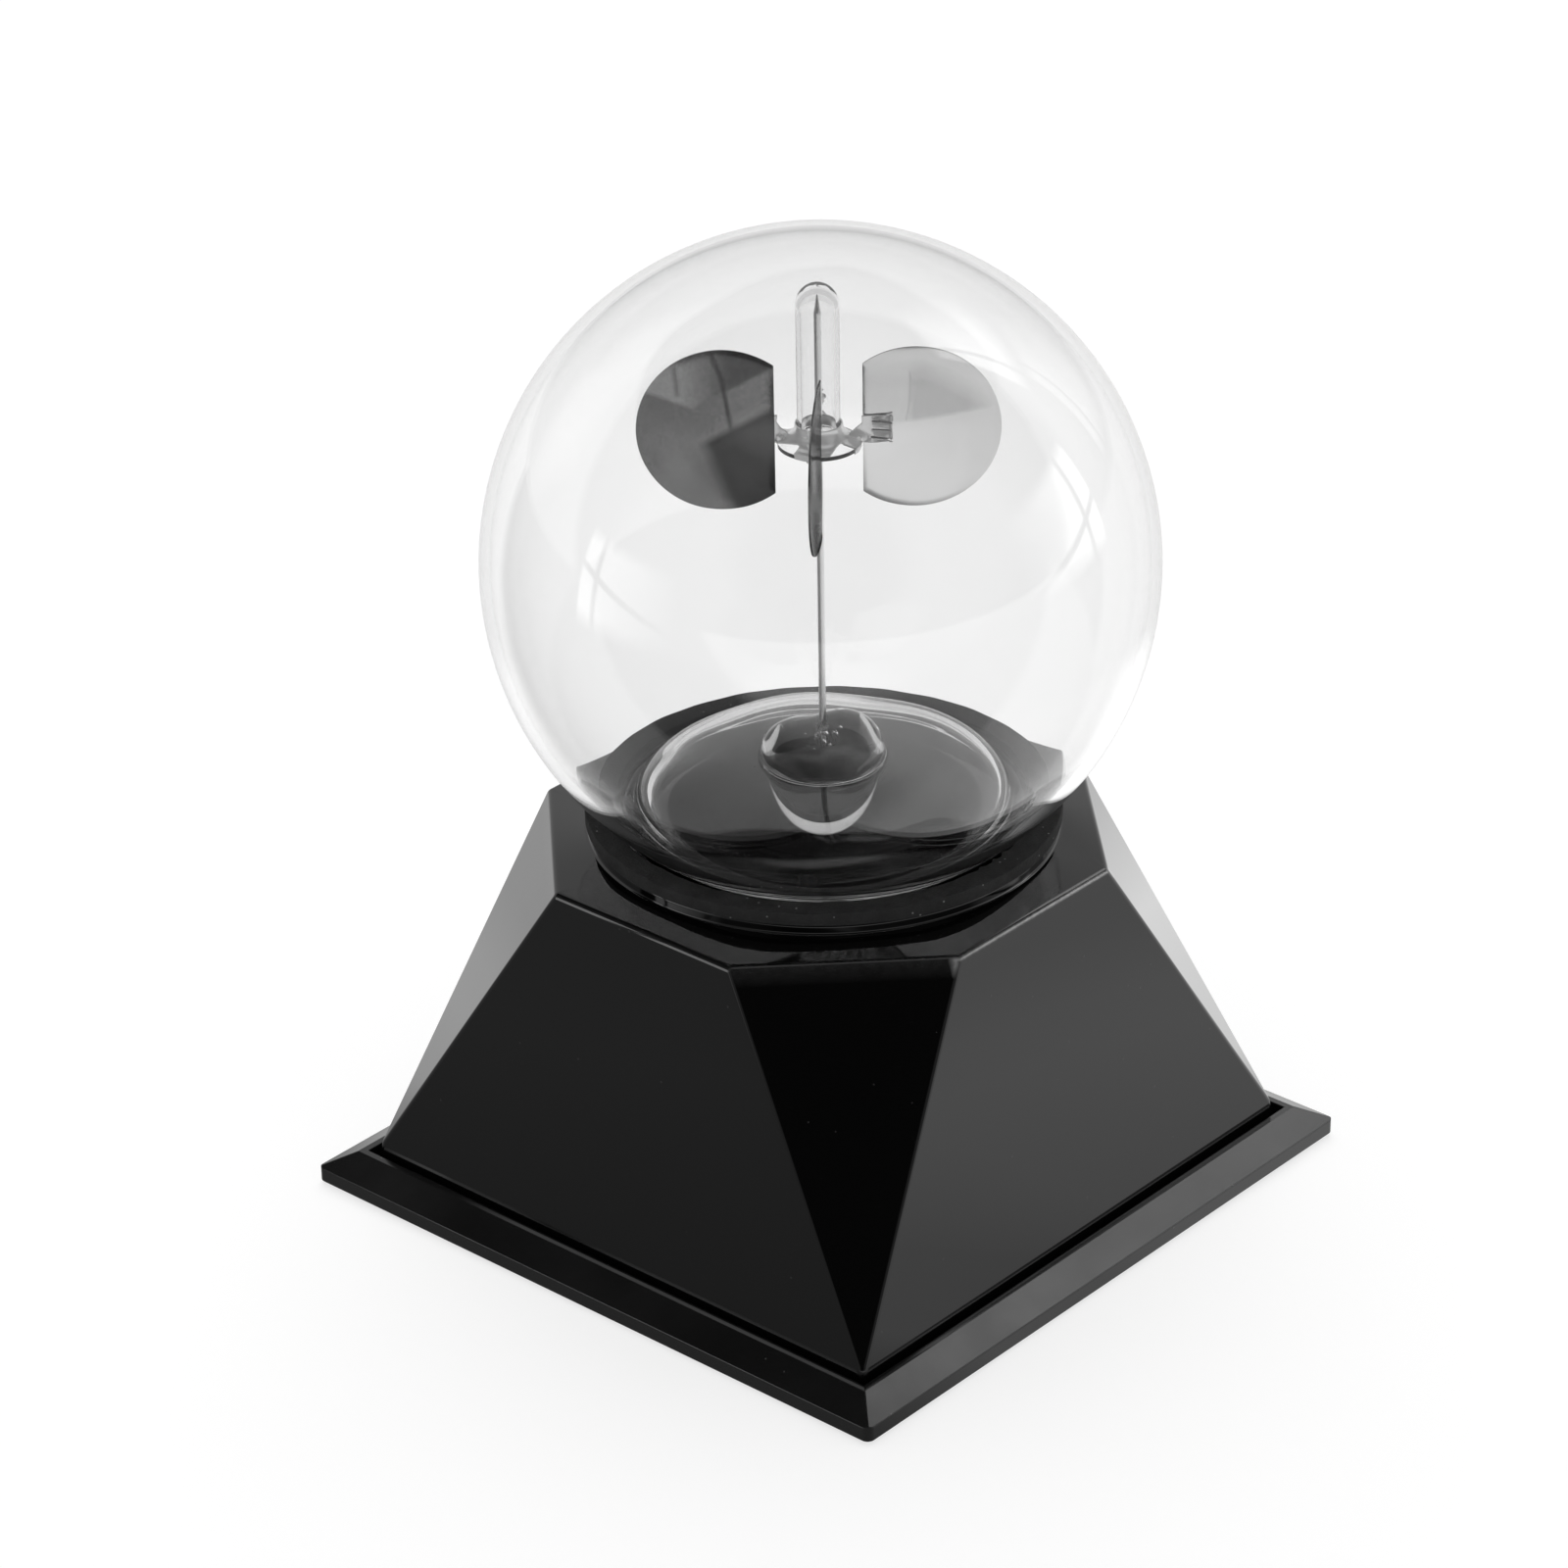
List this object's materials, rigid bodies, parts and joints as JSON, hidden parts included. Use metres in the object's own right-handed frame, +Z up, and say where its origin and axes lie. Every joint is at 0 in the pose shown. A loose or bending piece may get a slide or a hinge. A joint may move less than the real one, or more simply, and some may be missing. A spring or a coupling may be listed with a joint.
{
  "type": "crookes radiometer",
  "caption": "Crookes radiometer: clear glass globe with a light mill of round black and silver vanes on a needle, standing on a glossy black faceted base with a square plate.",
  "frame": {"origin": "on the standing surface, in the middle of the base, below the needle", "axes": "+Z up along the needle and the rotor's axis; X and Y along the square sides of the base; the corner at -X -Y is the one nearest the camera"},
  "size_m": [0.0892, 0.0892, 0.1218],
  "materials": {
    "plate_plastic": "satin moulded black plastic",
    "foot_rubber": "soft matte black rubber",
    "body_plastic": "high-gloss moulded black plastic",
    "screw_steel": "zinc-plated",
    "ring_foam": "matte closed-cell foam with dust specks",
    "globe_glass": "clear blown glass",
    "thick_glass": "clear melted glass with small bubbles",
    "needle_steel": "drawn steel wire, point ground",
    "cup_glass": "clear thin glass tube",
    "spider_metal": "bright creased sheet",
    "vane_sheet": "one side bright metal, the other glossy black"
  },
  "bodies": {
    "stand": {"base_plate": "plate_plastic", "foot_front": "foot_rubber", "foot_right": "foot_rubber", "foot_back": "foot_rubber", "foot_left": "foot_rubber", "base_body": "body_plastic", "base_screws": "screw_steel", "seat_ring": "ring_foam", "globe": "globe_glass", "exhaust_tip": "thick_glass", "needle_bead": "thick_glass", "pivot_needle": "needle_steel"},
    "rotor": {"spindle_cup": "cup_glass", "vane_spider": "spider_metal", "vane_left": "vane_sheet", "vane_front": "vane_sheet", "vane_right": "vane_sheet", "vane_back": "vane_sheet"}
  },
  "joints": [
    {"name": "rotor_spin", "type": "hinge", "parent": "stand", "child": "rotor", "pos_m": [0, 0, 0.099], "axis": [0, 0, 1], "continuous": true}
  ]
}
